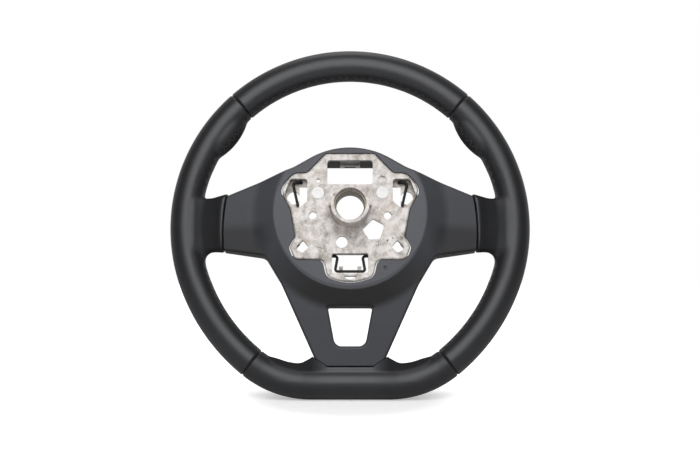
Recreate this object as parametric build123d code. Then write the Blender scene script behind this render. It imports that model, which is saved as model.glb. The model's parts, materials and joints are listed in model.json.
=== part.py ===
"""Flat-bottomed three-spoke car steering wheel without its airbag module, in millimetres.

The origin is on the hub's axis, in the rear face of the hub land. The wheel turns about Y:
the column side is -Y, the driver's side is +Y, and +Z is up when the wheels point ahead.
Outlines are drawn as (x, z) in the plane of the wheel, and depths are given along Y.
"""
import os
from math import cos, degrees, radians, sin

from build123d import *

# Rim: a round upper part, two flatter flanks, two corners and a flat bottom
RIM_RADIUS = 185.0
RIM_DROP = 12.4
RIM_BOTTOM = -190.0
RIM_Y = 38.0
UPPER_END = 200.0
FLANK_RADIUS = 205.0
FLANK_END = 231.2
TOP_SEAM = 131.9
GRIP = 16.0

# Leather panels on the rim and the foam under them
LEATHER = 1.3
SEAM_GAP = 0.5
FOAM_SIDES = 12
THUMB_DIRECTION = 143.2
THUMB_RISE = 6.0
THUMB_RADIUS = 65.0
THUMB_GRIP = 14.2
THUMB_SWEEP = 28.0

# Leather roots that the rim sends to the side spokes and to the lower spoke
ROOT_TOP = 15.5
ROOT_BOTTOM = -39.2
ROOT_REAR = 23.2
ROOT_FRONT = 44.0
ROOT_ROUND = 7.0
ROOT_BURIED = 3.0
ROOT_HOLLOW_X = 147.0
ROOT_HOLLOW_Y = 27.0
ROOT_HOLLOW_RADIUS = 24.0
JOINT_HIGH = (125.8, 20.0)
JOINT_MIDDLE = (130.2, -18.0)
JOINT_LOW = (128.4, -48.0)
HORN_TOP = -148.8
HORN_HALF = 36.7
HORN_REACH = 62.0
HORN_FOOT = -155.2
HORN_BELLY = (50.0, -153.9)
LOWER_SEAM = -157.8
LOWER_SEAM_HALF = 23.3
LOWER_ROOT_REAR = 26.5
JOINT_GAP = 1.4

# Hub cover: the grey moulding of the hub surround and the spokes
COVER_CENTRE_Z = -4.0
DISC_RADIUS = 77.5
DISC_Y = 1.0
DISC_EDGE = 3.0
BAND_RADIUS = 97.0
BAND_Y = 15.0
BAND_EDGE = 20.0
SPOKE_RADIUS = 165.0
SPOKE_Y = 29.0
COVER_FRONT = 44.0
COVER_APEX = 75.8
COVER_APEX_ROUND = 81.4
SHOULDER = (57.4, 42.9)
SHOULDER_ROUND = 40.0
SPOKE_TOP_SLOPE = 0.383
SPOKE_BOTTOM_SLOPE = -0.148
SPOKE_REACH = 140.0
ARMPIT = (86.3, -45.8)
ARMPIT_ROUND = 9.0
WAIST = (70.5, -72.3)
WAIST_ROUND = 60.0
COVER_EDGE = 3.0
WINDOW_TOP = -96.9
WINDOW_BOTTOM = -136.8
WINDOW_TOP_HALF = 22.6
WINDOW_BOTTOM_HALF = 15.2
WINDOW_TOP_ROUND = 1.5
WINDOW_BOTTOM_ROUND = 8.0
DENT = (35.3, -60.3)
DENT_RADIUS = 3.0
DENT_DEPTH = 0.9

# Hub land: the exposed plate of the casting, and its boss
LAND = 6.0
LAND_CHAMFER = 1.3
COVER_CLEARANCE = 0.8
BOSS_RADIUS = 19.2
BOSS_REAR = -30.0
BOSS_FRONT = 9.0
BOSS_FRONT_RADIUS = 22.0
BOSS_FILLET = 2.5
SLEEVE_OUTER = 16.2
SLEEVE_BORE = 14.0
SLEEVE_REAR = -16.0
SLEEVE_FRONT = 8.0
SLEEVE_CHAMFER = 0.8
EAR_REACH = 21.3
EAR_HEIGHT = 5.0
EAR_Z = 3.6
EAR_REAR = -14.0
EAR_BURIED = 2.5

# Holes in the land
TOP_WINDOW_FOOT = 24.7
TOP_WINDOW_WIDTH = 46.0
TOP_WINDOW_CORNER = 3.0
PIN_HOLE = 4.0
PIN_HOLE_AT = (37.8, -7.0)
CABLE_HOLE = 6.0
CABLE_HOLE_AT = (-8.4, -34.1)
LOCATING_HOLE = 2.2
LOCATING_HOLE_AT = (-32.3, 28.4)
RECESS = 4.5
RECESS_AT = (32.4, 28.9)
RECESS_DEPTH = 1.5

# Spring sockets in the land
SKIRT = 2.2
SKIRT_FRONT = 12.0
SHELF = 3.0
SOCKET_HOLE = 6.5
SOCKET_HOLE_AT = (57.5, 12.5)
LOWER_SOCKET_HALF = 18.3
LOWER_SOCKET_TOP = -45.6
LOWER_SOCKET_BOTTOM = -65.3
LOWER_SKIRT_FRONT = 15.0
NOTCH_RADIUS = 6.7
SOCKET_CORNER = 2.0
PASSAGE = (13.0, 27.0)
PASSAGE_AT = (45.0, 10.5)
STOP = (4.0, 9.0)
STOP_AT = (9.3, -61.8)
STOP_T = 2.5

# Wire springs
WIRE = 1.4
WIRE_FIT = 0.05
WIRE_BEND = 2.5
WIRE_Y = 8.0
ANCHOR = (49.5, 28.0)
ANCHOR_FRONT = 18.5
ANCHOR_BOSS = 3.4
SPRING_CORNER = (58.0, 27.3)
SPRING_TIP = (52.7, 3.2)
PIVOT_Y = 11.5
PIVOT_Z = -47.2
PIVOT_BOSS = 3.4
PIVOT_LENGTH = 4.0
LEG_TOP_HALF = 12.5
LEG_FOOT_HALF = 15.2
BAR_Z = -63.0

# Arms and rim ring of the casting
ARM_WALL = 3.0
ARM_DEPTH = 9.5
ARM_REAR = 6.0
ARM_KNEE_RADIUS = 75.0
ARM_BAND_Y = 19.5
ARM_END_Y = 34.0
ARM_POCKET_CLEARANCE = 0.3
RING_HALF = 6.0
RING_REAR = 31.0
RING_FRONT = 45.0
RING_WALL = 3.0

# Small parts in the land
BUSH_AT = (32.4, 15.8)
BUSH_FLANGE = 6.0
BUSH_FLANGE_T = 0.9
BUSH_SHANK = 4.0
BUSH_FRONT = 16.0
BUSH_DIMPLE = 3.4
BUSH_DIMPLE_DEPTH = 0.6
CONTACT_HALF = 10.3
CONTACT_T = 0.8
CONTACT_FRONT = 22.0
CONTACT_DROP = 2.8
FOOT_WIDTH = 4.4
FOOT_DROP = 1.6
WELL_TOP = 49.5

# Front trims of the spokes
TRIM = 3.0
TRIM_BORDER = 2.0
TRIM_GAP = 0.4
TRIM_SIDE_X = 79.0
TRIM_SIDE_Z = -43.0
TRIM_LOWER_Z = -84.0
TRIM_EDGE = 0.6
TRIM_CORNER = 3.0

# Lengths and a turn that only have to reach past the solids they cut, and limits for picking
FAR = 300.0
PAST = 1.0
FLAT = 1e-4
STEEP = 0.9
RIM_CENTRE = (0.0, -RIM_DROP)


def slab(face, y_rear, y_front):
    """Extrude an outline drawn as (x, z) from one depth to another."""
    plane = Plane((0, y_front, 0), x_dir=(1, 0, 0), z_dir=(0, -1, 0))
    return extrude(plane * face, y_front - y_rear)


def outline(corners):
    """Face of a closed outline, from (x, z, corner radius) triples."""
    points = [(x, z) for x, z, _ in corners]
    return make_face(FilletPolyline(*points, radius=[r for _, _, r in corners], close=True))


def both_sides(left_corners):
    """Add the mirrored right half to the corners of a left half, listed from top to bottom."""
    return left_corners + [(-x, z, r) for x, z, r in reversed(left_corners) if x != 0]


def mirrored(solid):
    """Right-hand copy of a left-hand solid."""
    return mirror(solid, about=Plane.YZ)


def disc(x, z, radius):
    """Round outline about a point of the wheel's plane."""
    return Pos(x, z) * Circle(radius)


def turned(profile):
    """Revolve an (r, y) profile about the axis of the hub cover."""
    return Pos(0, 0, COVER_CENTRE_Z) * revolve(make_face(profile), Axis.Y, 360)


# Rim geometry: centres and radii of the arcs that the grip follows
MID_RADIUS = RIM_RADIUS - GRIP
MID_FLANK = FLANK_RADIUS - GRIP
FLANK_CENTRE = (
    (RIM_RADIUS - FLANK_RADIUS) * cos(radians(UPPER_END)),
    -RIM_DROP + (RIM_RADIUS - FLANK_RADIUS) * sin(radians(UPPER_END)),
)
FLANK_TOE_Z = FLANK_CENTRE[1] + FLANK_RADIUS * sin(radians(FLANK_END))
CORNER_RADIUS = (FLANK_TOE_Z - RIM_BOTTOM) / (1 + sin(radians(FLANK_END)))
MID_CORNER = CORNER_RADIUS - GRIP
CORNER_CENTRE = (
    FLANK_CENTRE[0] + (FLANK_RADIUS - CORNER_RADIUS) * cos(radians(FLANK_END)),
    RIM_BOTTOM + CORNER_RADIUS,
)


def rim_outline(inset):
    """Outline of the rim, moved inwards by a distance."""
    def on_arc(centre, radius, direction):
        angle = radians(direction)
        return (centre[0] + radius * cos(angle), centre[1] + radius * sin(angle))

    upper = RIM_RADIUS - inset
    flank = FLANK_RADIUS - inset
    corner = CORNER_RADIUS - inset
    mid_flank = (UPPER_END + FLANK_END) / 2
    mid_corner = (FLANK_END + 270) / 2
    top = (0, upper - RIM_DROP)
    hip = on_arc(RIM_CENTRE, upper, UPPER_END)
    toe = on_arc(FLANK_CENTRE, flank, FLANK_END)
    heel = on_arc(CORNER_CENTRE, corner, 270)
    left = [
        ThreePointArc(top, on_arc(RIM_CENTRE, upper, (90 + UPPER_END) / 2), hip),
        ThreePointArc(hip, on_arc(FLANK_CENTRE, flank, mid_flank), toe),
        ThreePointArc(toe, on_arc(CORNER_CENTRE, corner, mid_corner), heel),
        Line(heel, (0, heel[1])),
    ]
    half = make_face(left + [Line((0, heel[1]), top)])
    return half + mirror(half, about=Plane.YZ)


def grip_section(inset):
    """Round section of the grip: leather outside, or the foam's flats at an inset."""
    if inset == 0:
        return Circle(GRIP)
    return RegularPolygon(GRIP - inset, FOAM_SIDES)


def swung(section, centre, radius, start, end):
    """Swing a section about an axis through a point of the wheel's plane."""
    angle = radians(start)
    plane = Plane(
        (centre[0] + radius * cos(angle), RIM_Y, centre[1] + radius * sin(angle)),
        x_dir=(cos(angle), 0, sin(angle)),
        z_dir=(-sin(angle), 0, cos(angle)),
    )
    axis = Axis((centre[0], RIM_Y, centre[1]), (0, -1, 0))
    return revolve(plane * section, axis, end - start)


def seam_angle(radius):
    """Half of the gap at a cross seam, as an angle."""
    return degrees(SEAM_GAP / 2 / radius)


def thumb_rest(inset):
    """Swelling of the grip on the inside of the rim, above a side spoke."""
    peak = RIM_RADIUS - 2 * GRIP - THUMB_RISE
    angle = radians(THUMB_DIRECTION)
    reach = peak + THUMB_RADIUS
    centre = (reach * cos(angle), reach * sin(angle) - RIM_DROP)
    inward = THUMB_DIRECTION + 180
    radius = THUMB_RADIUS - THUMB_GRIP
    return swung(
        Circle(THUMB_GRIP - inset), centre, radius, inward - THUMB_SWEEP, inward + THUMB_SWEEP)


def joint_side(gap, edge_x):
    """Region between the left spoke's joint line, moved to the hub, and an upright line."""
    high, middle, low = [(-x + gap, z) for x, z in (JOINT_HIGH, JOINT_MIDDLE, JOINT_LOW)]
    far_low = (edge_x, low[1])
    far_high = (edge_x, high[1])
    return make_face([ThreePointArc(high, middle, low), Polyline(low, far_low, far_high, high)])


def side_root(inset):
    """Root of the left spoke, hollow behind, from inside the rim to its joint with the hub cover."""
    height = ROOT_TOP - ROOT_BOTTOM - 2 * inset
    depth = ROOT_FRONT - ROOT_REAR - 2 * inset
    middle = (ROOT_TOP + ROOT_BOTTOM) / 2
    section = Pos(middle, (ROOT_REAR + ROOT_FRONT) / 2) * RectangleRounded(
        height, depth, ROOT_ROUND - inset)
    plane = Plane((-JOINT_HIGH[0], 0, 0), x_dir=(0, 0, 1), z_dir=(-1, 0, 0))
    length = MID_RADIUS - ROOT_BURIED - JOINT_HIGH[0]
    hollow = Cylinder(ROOT_HOLLOW_RADIUS + inset, FAR)
    return extrude(plane * section, length) - Pos(
        -ROOT_HOLLOW_X, ROOT_HOLLOW_Y - ROOT_HOLLOW_RADIUS, 0) * hollow


def left_rim(inset, overrun=0.0):
    """Left side of the rim between its cross seams, with the thumb rest and the spoke's root."""
    section = grip_section(inset)
    upper = swung(section, RIM_CENTRE, MID_RADIUS, TOP_SEAM - overrun, UPPER_END)
    flank = swung(section, FLANK_CENTRE, MID_FLANK, UPPER_END, FLANK_END + overrun)
    grip = upper + flank + thumb_rest(inset)
    return grip + side_root(inset)


def lower_root(inset, overrun):
    """Root of the lower spoke, which rises in a horn at each side of the joint line."""
    rise = (HORN_TOP - LOWER_SEAM) / (HORN_HALF - LOWER_SEAM_HALF)
    tip = (-HORN_HALF + inset, HORN_TOP - inset * rise)
    toe = (-HORN_REACH, HORN_FOOT - inset)
    foot = RIM_BOTTOM + GRIP
    joint = [(0, LOWER_SEAM), (-LOWER_SEAM_HALF, LOWER_SEAM), tip]
    if overrun:
        joint = [(x, z + overrun) for x, z in joint] + [tip]
    left = make_face([
        Polyline(*joint),
        ThreePointArc(tip, (-HORN_BELLY[0], HORN_BELLY[1] - inset), toe),
        Polyline(toe, (-HORN_REACH, foot), (0, foot), joint[0]),
    ])
    plan = left + mirror(left, about=Plane.YZ)
    return slab(plan, LOWER_ROOT_REAR + inset, COVER_FRONT - inset)


def bottom_rim(inset, turn=0.0, overrun=0.0):
    """Bottom of the rim between its cross seams, which may turn and run past their lines."""
    section = grip_section(inset)
    corner = swung(section, CORNER_CENTRE, MID_CORNER, FLANK_END - turn, 270)
    plane = Plane(
        (CORNER_CENTRE[0], RIM_Y, RIM_BOTTOM + GRIP), x_dir=(0, 0, -1), z_dir=(1, 0, 0))
    flat = extrude(plane * section, -2 * CORNER_CENTRE[0])
    return corner + flat + mirrored(corner) + lower_root(inset, overrun)


def top_rim(inset, overrun=0.0):
    """Top of the rim between its cross seams."""
    section = grip_section(inset)
    return swung(section, RIM_CENTRE, MID_RADIUS, 180 - TOP_SEAM - overrun, TOP_SEAM + overrun)


def leather_top():
    """Leather panel over the top of the rim."""
    return top_rim(0, -seam_angle(MID_RADIUS)) - top_rim(LEATHER, PAST)


def leather_left():
    """Leather panel of the left side, sewn round the spoke's root as well."""
    panel = left_rim(0, -seam_angle(MID_RADIUS)) - left_rim(LEATHER, PAST)
    return panel - slab(joint_side(0, 0), 0, FAR)


def leather_bottom():
    """Leather panel round the flat bottom and the root of the lower spoke."""
    return bottom_rim(0, -seam_angle(MID_CORNER)) - bottom_rim(LEATHER, PAST, PAST)


# Hub land and casting
def land_outline():
    """Outline of the exposed hub land, with a lobe at each spring socket."""
    left = [
        (-24.6, 56.2, 5),
        (-43.5, 36.2, 9),
        (-57.0, 36.2, 11),
        (-70.6, 20.0, 10),
        (-60.0, -0.5, 8),
        (-54.9, -28.5, 6),
        (-61.0, -39.0, 7),
        (-56.0, -51.5, 8),
        (-27.0, -51.5, 7),
        (-23.2, -69.0, 9),
        (0.0, -76.5, 45),
    ]
    return outline(both_sides(left))


def side_socket():
    """Opening for the left spring in the land."""
    corners = [
        (-60.5, 30.5, 3),
        (-43.2, 30.5, 3),
        (-43.2, 7.3, 3),
        (-53.1, -0.8, 3.5),
        (-67.0, 12.5, 6),
    ]
    return outline(corners)


def lower_socket():
    """Opening for the lower spring, with its half-round notch."""
    middle = (LOWER_SOCKET_TOP + LOWER_SOCKET_BOTTOM) / 2
    height = LOWER_SOCKET_TOP - LOWER_SOCKET_BOTTOM
    return Pos(0, middle) * RectangleRounded(2 * LOWER_SOCKET_HALF, height, SOCKET_CORNER)


def land_holes():
    """Every other hole through the land."""
    window = Pos(0, (TOP_WINDOW_FOOT + WELL_TOP) / 2) * RectangleRounded(
        TOP_WINDOW_WIDTH, WELL_TOP - TOP_WINDOW_FOOT, TOP_WINDOW_CORNER)
    slot = outline([
        (22.8, -10.3, 2), (34.6, -16.6, 3), (30.3, -31.0, 3), (18.9, -31.7, 2), (12.2, -21.4, 2),
    ])
    lobe_left = outline([
        (-47.4, -31.7, 1.5), (-41.3, -39.3, 1.5), (-47.7, -45.1, 2), (-53.2, -42.3, 2),
        (-53.8, -38.5, 2),
    ])
    holes = window + slot + lobe_left + mirror(lobe_left, about=Plane.YZ)
    holes += disc(0, 0, SLEEVE_OUTER)
    holes += disc(*CABLE_HOLE_AT, CABLE_HOLE)
    holes += disc(*LOCATING_HOLE_AT, LOCATING_HOLE)
    for side in (-1, 1):
        holes += disc(side * PIN_HOLE_AT[0], PIN_HOLE_AT[1], PIN_HOLE)
        holes += disc(side * BUSH_AT[0], BUSH_AT[1], BUSH_SHANK)
    return holes


def socket_walls():
    """Skirt, slotted shelf and anchor boss in front of the left socket."""
    opening = side_socket()
    rim = offset(opening, SKIRT)
    skirt = slab(rim - opening, LAND, SKIRT_FRONT)
    passage = Pos(-PASSAGE_AT[0], PASSAGE_AT[1]) * Rectangle(*PASSAGE)
    shelf_plan = rim - disc(-SOCKET_HOLE_AT[0], SOCKET_HOLE_AT[1], SOCKET_HOLE) - passage
    shelf = slab(shelf_plan, SKIRT_FRONT, SKIRT_FRONT + SHELF)
    boss = slab(disc(-ANCHOR[0], ANCHOR[1], ANCHOR_BOSS), SKIRT_FRONT, ANCHOR_FRONT)
    bore = slab(disc(-ANCHOR[0], ANCHOR[1], WIRE + WIRE_FIT), LAND, FAR)
    return skirt + shelf + boss - bore


def lower_socket_walls():
    """Skirt of the lower socket, with the two pivot bosses and the two stops."""
    opening = lower_socket()
    skirt = slab(offset(opening, SKIRT) - opening, LAND, LOWER_SKIRT_FRONT)
    pivots = Cylinder(PIVOT_BOSS, 2 * (LOWER_SOCKET_HALF + PIVOT_LENGTH), rotation=(0, 90, 0))
    pivots = Pos(0, PIVOT_Y, PIVOT_Z) * pivots
    stops = Sketch()
    for side in (-1, 1):
        stops += Pos(side * STOP_AT[0], STOP_AT[1]) * Rectangle(*STOP)
    walls = skirt + (pivots - slab(opening, 0, FAR))
    walls += slab(stops, LOWER_SKIRT_FRONT - STOP_T, LOWER_SKIRT_FRONT)
    bore = Cylinder(WIRE + WIRE_FIT, FAR, rotation=(0, 90, 0))
    return walls - Pos(0, PIVOT_Y, PIVOT_Z) * bore


def side_arms(grow=0.0):
    """Plan of the two side arms."""
    left = outline([
        (-40, 14 + grow, 0), (-80, 4 + grow, 0), (-MID_RADIUS, -2 + grow, 0),
        (-MID_RADIUS, -24 - grow, 0), (-80, -28 - grow, 0), (-40, -30 - grow, 0),
    ])
    return left + mirror(left, about=Plane.YZ)


def legs(grow=0.0):
    """Plan of the two legs of the lower spoke."""
    left = outline([
        (-46, -20, 0), (-30 + grow, -38, 0), (-28.5 + grow, -98, 0), (-21 + grow, -140, 0),
        (-21 + grow, RIM_BOTTOM + GRIP, 0), (-34 - grow, RIM_BOTTOM + GRIP, 0),
        (-34.5 - grow, -142, 0), (-51 - grow, -98, 0), (-58 - grow, -48, 0),
    ])
    return left + mirror(left, about=Plane.YZ)


def arm_space(rear_shift, front):
    """Space between the arms' rear surface, moved along Y, and a flat front."""
    rear = [
        (0, ARM_REAR + rear_shift),
        (ARM_KNEE_RADIUS, ARM_REAR + rear_shift),
        (BAND_RADIUS, ARM_BAND_Y + rear_shift),
        (SPOKE_RADIUS, ARM_END_Y + rear_shift),
        (RIM_RADIUS, ARM_END_Y + rear_shift),
        (RIM_RADIUS, front),
        (0, front),
    ]
    return turned(Polyline(*rear, close=True))


def arms():
    """Four channelled arms, open to the front."""
    solid = slab(side_arms() + legs(), 0, FAR) & arm_space(0, RING_FRONT)
    above = arm_space(ARM_DEPTH, RING_FRONT + PAST)
    inside = side_arms(-ARM_WALL) + legs(-ARM_WALL)
    channel = slab(inside, 0, FAR) & arm_space(ARM_WALL, RING_FRONT + PAST)
    return solid - above - channel


def rim_ring():
    """Channelled ring inside the rim, open to the front."""
    middle = GRIP
    bar = rim_outline(middle - RING_HALF) - rim_outline(middle + RING_HALF)
    inside = RING_HALF - RING_WALL
    groove = rim_outline(middle - inside) - rim_outline(middle + inside)
    return slab(bar, RING_REAR, RING_FRONT) - slab(groove, RING_REAR + RING_WALL, FAR)


def armature():
    """Die casting: hub land, boss, spring sockets, arms and rim ring."""
    land = slab(land_outline(), 0, LAND)
    rear_edges = land.faces().sort_by(Axis.Y)[0].edges()
    land = chamfer(rear_edges, LAND_CHAMFER)
    land += slab(disc(0, 0, BOSS_RADIUS), BOSS_REAR, 0)
    foot = land.edges().filter_by(GeomType.CIRCLE).filter_by(
        lambda edge: abs(edge.radius - BOSS_RADIUS) < 0.01).sort_by(Axis.Y)[-1]
    land = fillet(foot, BOSS_FILLET)
    ear_width = EAR_REACH - BOSS_RADIUS + EAR_BURIED
    for side in (-1, 1):
        middle = side * (EAR_REACH - ear_width / 2)
        land += slab(Pos(middle, EAR_Z) * Rectangle(ear_width, EAR_HEIGHT), EAR_REAR, 0)
    land += slab(disc(0, 0, BOSS_FRONT_RADIUS), LAND, BOSS_FRONT)
    body = land + (arms() - slab(well_outline(), ARM_REAR + ARM_DEPTH, FAR)) + rim_ring()
    sockets = side_socket() + mirror(side_socket(), about=Plane.YZ) + lower_socket()
    sockets += disc(0, LOWER_SOCKET_BOTTOM, NOTCH_RADIUS)
    body -= slab(land_holes() + sockets, BOSS_REAR, ARM_REAR + ARM_DEPTH)
    body -= slab(disc(*RECESS_AT, RECESS), 0, RECESS_DEPTH)
    left = socket_walls()
    return body + left + mirrored(left) + lower_socket_walls()


def hub_sleeve():
    """Steel insert of the boss."""
    ring = slab(disc(0, 0, SLEEVE_OUTER) - disc(0, 0, SLEEVE_BORE), SLEEVE_REAR, SLEEVE_FRONT)
    mouths = ring.edges().filter_by(GeomType.CIRCLE).filter_by(
        lambda edge: abs(edge.radius - SLEEVE_BORE) < 0.01)
    return chamfer(mouths, SLEEVE_CHAMFER)


# Hub cover and front trims
def well_outline():
    """Airbag well, open to the front."""
    left = [
        (-26, WELL_TOP, 8),
        (-71.5, 34, 9),
        (-73, 0, 40),
        (-60, -54, 12),
        (-29, -79, 16),
    ]
    return outline(both_sides(left))


def window_outline():
    """Window in the lower spoke."""
    left = [
        (-WINDOW_TOP_HALF, WINDOW_TOP, WINDOW_TOP_ROUND),
        (-WINDOW_BOTTOM_HALF, WINDOW_BOTTOM, WINDOW_BOTTOM_ROUND),
    ]
    return outline(both_sides(left))


def cover_outline(inset=0.0):
    """Outline of the hub surround and the spokes, up to the leather's joint lines."""
    spoke_top = SHOULDER[1] - SPOKE_TOP_SLOPE * (SPOKE_REACH - SHOULDER[0])
    spoke_bottom = ARMPIT[1] + SPOKE_BOTTOM_SLOPE * (ARMPIT[0] - SPOKE_REACH)
    left = [
        (0, COVER_APEX, COVER_APEX_ROUND),
        (-SHOULDER[0], SHOULDER[1], SHOULDER_ROUND),
        (-SPOKE_REACH, spoke_top, 0),
        (-SPOKE_REACH, spoke_bottom, 0),
        (-ARMPIT[0], ARMPIT[1], ARMPIT_ROUND),
        (-WAIST[0], WAIST[1], WAIST_ROUND),
        (-HORN_HALF, HORN_TOP + JOINT_GAP, 0),
        (-LOWER_SEAM_HALF, LOWER_SEAM + JOINT_GAP, 0),
    ]
    whole = outline(both_sides(left))
    beyond = joint_side(JOINT_GAP, -max(SPOKE_REACH, JOINT_MIDDLE[0]) - PAST)
    whole -= beyond + mirror(beyond, about=Plane.YZ)
    return offset(whole, -inset) if inset else whole


def trim_outlines():
    """Plans of the left trim and of the lower trim."""
    field = cover_outline(TRIM_BORDER)
    side = field & Pos(-TRIM_SIDE_X - FAR / 2, TRIM_SIDE_Z + FAR / 2) * Rectangle(FAR, FAR)
    lower = field & Pos(0, TRIM_LOWER_Z - FAR / 2) * Rectangle(FAR, FAR)
    side = fillet(side.vertices().group_by(Axis.X)[-1], TRIM_CORNER)
    lower = fillet(lower.vertices().group_by(Axis.Y)[-1], TRIM_CORNER)
    return side, lower - offset(window_outline(), TRIM_BORDER)


def moulding():
    """Outer form of the hub cover: its outline under a turned rear surface, edges rounded."""
    rear = FilletPolyline(
        (0, DISC_Y), (DISC_RADIUS, DISC_Y), (BAND_RADIUS, BAND_Y), (SPOKE_RADIUS, SPOKE_Y),
        radius=[DISC_EDGE, BAND_EDGE])
    front = Polyline(
        (SPOKE_RADIUS, SPOKE_Y), (SPOKE_RADIUS, COVER_FRONT), (0, COVER_FRONT), (0, DISC_Y))
    plan = cover_outline() - window_outline()
    plan &= Pos(-FAR / 2, 0) * Rectangle(FAR, 2 * FAR)
    half = slab(plan, 0, FAR) & turned([rear, front])
    walls = [face for face in half.faces() if abs(face.normal_at().Y) < FLAT]
    joints = [face for face in walls if face.center().X < -JOINT_HIGH[0]]
    joints += [face for face in walls if face.center().Z < HORN_TOP or face.center().X > -FLAT]
    free = [wall for wall in walls if wall not in joints]
    corners = [
        edge for wall in free for edge in wall.edges() if abs(edge.tangent_at(0.5).Y) < STEEP
    ]
    rear_corners = [edge for edge in corners if edge.center().Y < COVER_FRONT - FLAT]
    half = fillet(rear_corners, COVER_EDGE)
    return half + mirrored(half)


def hub_cover():
    """Grey moulding that encloses the side arms, with a clearance round the land and the well."""
    cover = moulding()
    side, lower = trim_outlines()
    pockets = side + mirror(side, about=Plane.YZ) + lower
    cover -= slab(offset(pockets, TRIM_GAP), COVER_FRONT - TRIM, FAR)
    cover -= slab(offset(land_outline(), COVER_CLEARANCE), 0, LAND)
    cover -= slab(well_outline(), LAND, FAR)
    pocket = arm_space(-ARM_POCKET_CLEARANCE, COVER_FRONT - TRIM)
    beyond = arm_space(ARM_DEPTH + ARM_POCKET_CLEARANCE, COVER_FRONT)
    cover -= slab(legs(ARM_POCKET_CLEARANCE), 0, FAR) & pocket
    cover -= (slab(side_arms(ARM_POCKET_CLEARANCE), 0, FAR) & pocket) - beyond
    dent = Pos(DENT[0], DISC_Y + DENT_DEPTH - DENT_RADIUS, DENT[1]) * Sphere(DENT_RADIUS)
    return cover - dent


def trim(plan):
    """Plain front cover of a spoke, set flush in the hub cover."""
    panel = slab(plan, COVER_FRONT - TRIM, COVER_FRONT)
    return chamfer(panel.faces().sort_by(Axis.Y)[-1].edges(), TRIM_EDGE)


def rim_foam(casting):
    """Foam moulded round the ring and the ends of the arms."""
    left = left_rim(LEATHER)
    foam = top_rim(LEATHER) + left + mirrored(left) + bottom_rim(LEATHER)
    hub_side = joint_side(0, 0)
    return foam - slab(hub_side + mirror(hub_side, about=Plane.YZ), 0, FAR) - casting


# Wire springs, bushes and contact
def wire(points):
    """Round wire along straight runs with bends between them."""
    path = FilletPolyline(*points, radius=WIRE_BEND)
    start = Plane(points[0], z_dir=path % 0)
    return sweep(start * Circle(WIRE), path=path)


def spring_left():
    """Left catch spring: a leg in the anchor boss, a short arm and the bar across the socket."""
    return wire([
        (-ANCHOR[0], ANCHOR_FRONT, ANCHOR[1]),
        (-ANCHOR[0], WIRE_Y, ANCHOR[1]),
        (-SPRING_CORNER[0], WIRE_Y, SPRING_CORNER[1]),
        (-SPRING_TIP[0], WIRE_Y, SPRING_TIP[1]),
    ])


def spring_bottom():
    """Lower catch spring: a U whose ends turn out into the pivot bosses."""
    end = LOWER_SOCKET_HALF + PIVOT_LENGTH / 2
    left = [
        (-end, PIVOT_Y, PIVOT_Z),
        (-LEG_TOP_HALF, PIVOT_Y, PIVOT_Z),
        (-LEG_FOOT_HALF, WIRE_Y, BAR_Z),
    ]
    return wire(left + [(-x, y, z) for x, y, z in reversed(left)])


def guide_bush():
    """Left plastic bush with a flange on the rear of the land."""
    x, z = -BUSH_AT[0], BUSH_AT[1]
    bush = slab(disc(x, z, BUSH_FLANGE), -BUSH_FLANGE_T, 0)
    bush += slab(disc(x, z, BUSH_SHANK), 0, BUSH_FRONT)
    return bush - slab(disc(x, z, BUSH_DIMPLE), -BUSH_FLANGE_T, BUSH_DIMPLE_DEPTH - BUSH_FLANGE_T)


def earth_contact():
    """Bent strip under the top edge of the well, with two feet."""
    lip = slab(Pos(0, WELL_TOP - CONTACT_T / 2) * Rectangle(2 * CONTACT_HALF, CONTACT_T),
               LAND, CONTACT_FRONT)
    face = Pos(0, WELL_TOP - CONTACT_DROP / 2) * Rectangle(2 * CONTACT_HALF, CONTACT_DROP)
    for side in (-1, 1):
        middle = side * (CONTACT_HALF - FOOT_WIDTH / 2)
        drop = CONTACT_DROP + FOOT_DROP
        face += Pos(middle, WELL_TOP - drop / 2) * Rectangle(FOOT_WIDTH, drop)
    return lip + slab(face, CONTACT_FRONT - CONTACT_T, CONTACT_FRONT)


def main():
    """Build every piece and write it to its own file."""
    casting = armature()
    side_trim, lower_trim = trim_outlines()
    left_leather = leather_left()
    left_spring = spring_left()
    left_bush = guide_bush()
    left_trim = trim(side_trim)
    pieces = {
        "armature": casting,
        "hub_sleeve": hub_sleeve(),
        "rim_foam": rim_foam(casting),
        "leather_top": leather_top(),
        "leather_left": left_leather,
        "leather_right": mirrored(left_leather),
        "leather_bottom": leather_bottom(),
        "hub_cover": hub_cover(),
        "spring_left": left_spring,
        "spring_right": mirrored(left_spring),
        "spring_bottom": spring_bottom(),
        "guide_bush_left": left_bush,
        "guide_bush_right": mirrored(left_bush),
        "earth_contact": earth_contact(),
        "trim_left": left_trim,
        "trim_right": mirrored(left_trim),
        "trim_lower": trim(lower_trim),
    }
    os.makedirs("parts", exist_ok=True)
    for name, piece in pieces.items():
        export_step(piece, f"parts/{name}.step")


if __name__ == "__main__":
    main()
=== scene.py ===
"""Looks of a flat-bottomed leather steering wheel, seen from the column side.

Fields are in millimetres and degrees unless they say otherwise, and Blender's own objects in metres.
The wheel lies in the X-Z plane with its axis along Y: the column side is -Y and the driver's side +Y.
Angles in the wheel's plane count from +X to +Z.
"""
import json
import logging
import math
from dataclasses import dataclass
from functools import partial
from typing import Callable, Sequence

import bpy
from bpy.types import Material, MeshPolygon, Node, NodeSocket, NodeTree, Object
from mathutils import Matrix, Vector

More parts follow.
